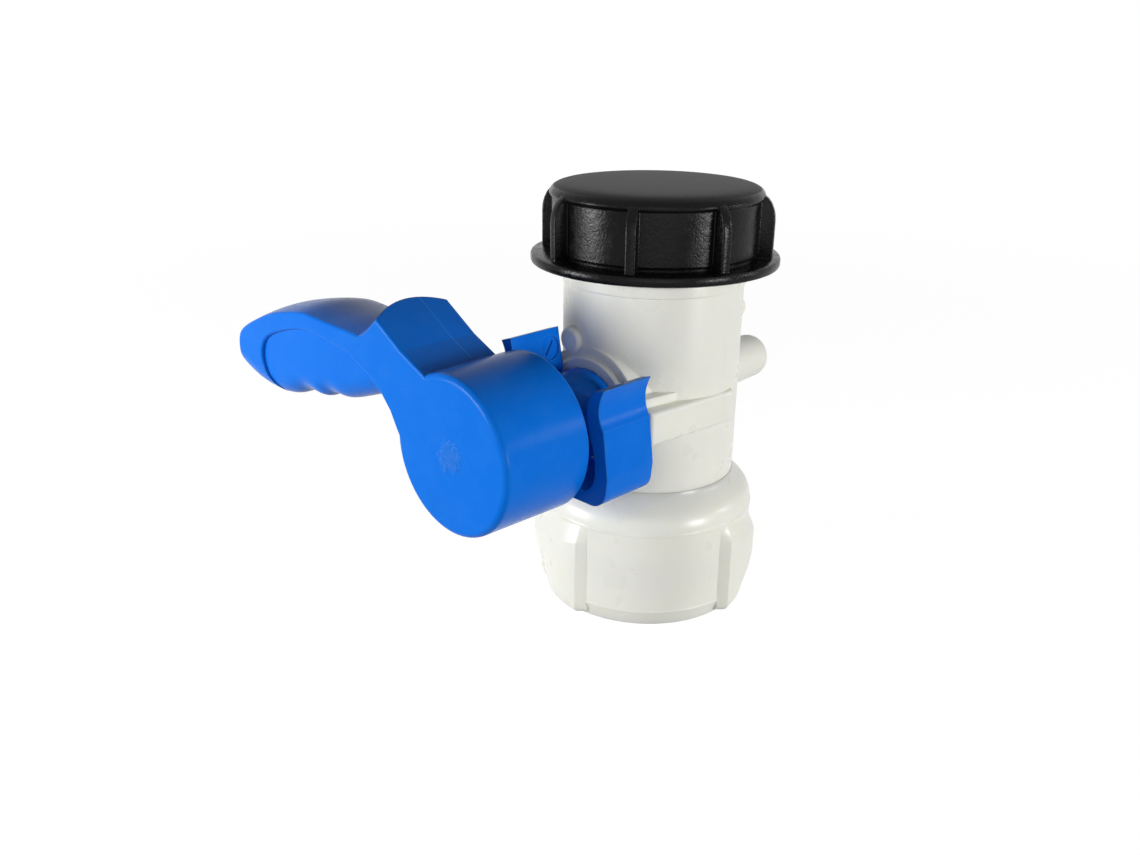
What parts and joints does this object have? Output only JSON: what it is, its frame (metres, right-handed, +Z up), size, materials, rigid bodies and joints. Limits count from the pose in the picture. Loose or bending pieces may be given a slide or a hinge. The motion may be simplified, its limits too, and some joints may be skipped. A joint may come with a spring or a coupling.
{
  "type": "butterfly valve",
  "caption": "Plastic butterfly valve for a bulk container outlet, with coupling nut, screw-on dust cap, lever handle on a round drum and a spring clip on the neck.",
  "frame": {"origin": "centre of the coupling nut's lower face, on the flow axis", "axes": "+Z up along the flow axis to the outlet and its cap, the stem and the handle's drum lie towards -Y, the grip points to -X with the valve shut"},
  "size_m": [0.1576, 0.1478, 0.1406],
  "materials": {
    "natural_plastic": "translucent natural polyethylene, softly glossy",
    "blue_plastic": "blue polypropylene with a fine grain",
    "black_plastic": "black polypropylene, mottled half gloss",
    "black_rubber": "matt rubber"
  },
  "bodies": {
    "body": {"valve_body": "natural_plastic", "nut_ring": "natural_plastic", "inlet_gasket": "black_rubber"},
    "nut": {"coupling_nut": "natural_plastic"},
    "cap_rise": {"cap_gasket": "black_rubber"},
    "cap": {"dust_cap": "black_plastic"},
    "turning": {"handle": "blue_plastic", "stem": "natural_plastic", "disc": "natural_plastic", "disc_seal": "black_rubber", "stem_oring_outer": "black_rubber", "stem_oring_inner": "black_rubber"},
    "clip": {"lock_clip": "blue_plastic"}
  },
  "joints": [
    {"name": "handle_turn", "type": "hinge", "parent": "body", "child": "turning", "pos_m": [0, 0, 0.0711], "axis": [0, 1, 0], "range_deg": [0, 90]},
    {"name": "nut_turn", "type": "hinge", "parent": "body", "child": "nut", "pos_m": [0, 0, 0], "axis": [0, 0, 1], "continuous": true},
    {"name": "cap_lift", "type": "slide", "parent": "body", "child": "cap_rise", "axis": [0, 0, 1], "range_m": [0, 0.0241]},
    {"name": "cap_turn", "type": "hinge", "parent": "cap_rise", "child": "cap", "pos_m": [0, 0, 0.12], "axis": [0, 0, 1], "range_deg": [0, 1440]},
    {"name": "clip_turn", "type": "hinge", "parent": "body", "child": "clip", "pos_m": [0, 0, 0.0711], "axis": [0, -1, 0], "range_deg": [0, 75]}
  ],
  "couplings": [
    {"joint": "cap_lift", "follows": "cap_turn", "m_per_rad": 0.00095493}
  ]
}
